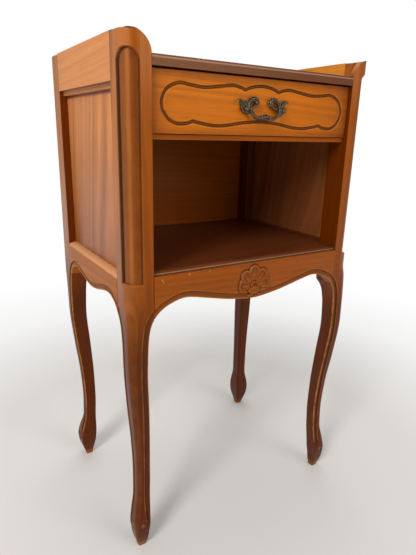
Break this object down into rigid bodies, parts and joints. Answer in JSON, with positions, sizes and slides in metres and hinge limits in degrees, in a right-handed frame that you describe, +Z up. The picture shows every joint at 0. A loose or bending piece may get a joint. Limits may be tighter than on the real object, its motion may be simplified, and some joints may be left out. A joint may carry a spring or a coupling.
{
  "type": "nightstand",
  "caption": "Bedside chest on cabriole legs with scroll feet: a drawer with a drop handle over an open niche, a carved shell apron and a low gallery round the top.",
  "frame": {"origin": "on the floor, at the middle of the bounding box in X and Y", "axes": "+Z up, the drawer and the niche open towards -Y, the left side as seen from the front is at -X"},
  "size_m": [0.4, 0.2942, 0.722],
  "materials": {
    "wood": "satin varnish, honey brown",
    "wood_side": "satin varnish, faded",
    "wood_dark": "satin varnish, dark brown",
    "wood_inner": "planed, unvarnished",
    "bronze": "aged, dark",
    "steel": "plain"
  },
  "bodies": {
    "case": {"front_left_leg": "wood", "front_right_leg": "wood", "back_left_leg": "wood", "back_right_leg": "wood", "left_top_rail": "wood_side", "right_top_rail": "wood_side", "left_side_panel": "wood_side", "right_side_panel": "wood_side", "left_apron": "wood_side", "right_apron": "wood_side", "front_apron": "wood", "back_top_rail": "wood_inner", "back_bottom_rail": "wood_inner", "back_panel": "wood", "top_board": "wood_dark", "niche_ceiling": "wood", "niche_floor": "wood_dark", "left_floor_strip": "wood_dark", "right_floor_strip": "wood_dark", "left_drawer_guide": "wood_inner", "right_drawer_guide": "wood_inner", "left_kicker": "wood_inner", "right_kicker": "wood_inner", "drawer_stops": "wood_inner", "left_floor_cleat": "wood_inner", "right_floor_cleat": "wood_inner", "glue_blocks": "wood_inner", "cleat_screws": "steel", "kicker_screws": "steel", "panel_pins": "steel"},
    "drawer": {"drawer_front": "wood", "drawer_left_side": "wood_inner", "drawer_right_side": "wood_inner", "drawer_back": "wood_inner", "drawer_bottom": "wood_inner", "left_rosette": "bronze", "right_rosette": "bronze", "handle_nuts": "steel"},
    "bail": {"handle_bail": "bronze"}
  },
  "joints": [
    {"name": "drawer_slide", "type": "slide", "parent": "case", "child": "drawer", "axis": [0, -1, 0], "range_m": [0, 0.19]},
    {"name": "bail_hinge", "type": "hinge", "parent": "drawer", "child": "bail", "pos_m": [0, -0.1429, 0.645], "axis": [-1, 0, 0], "range_deg": [-25, 85]}
  ]
}
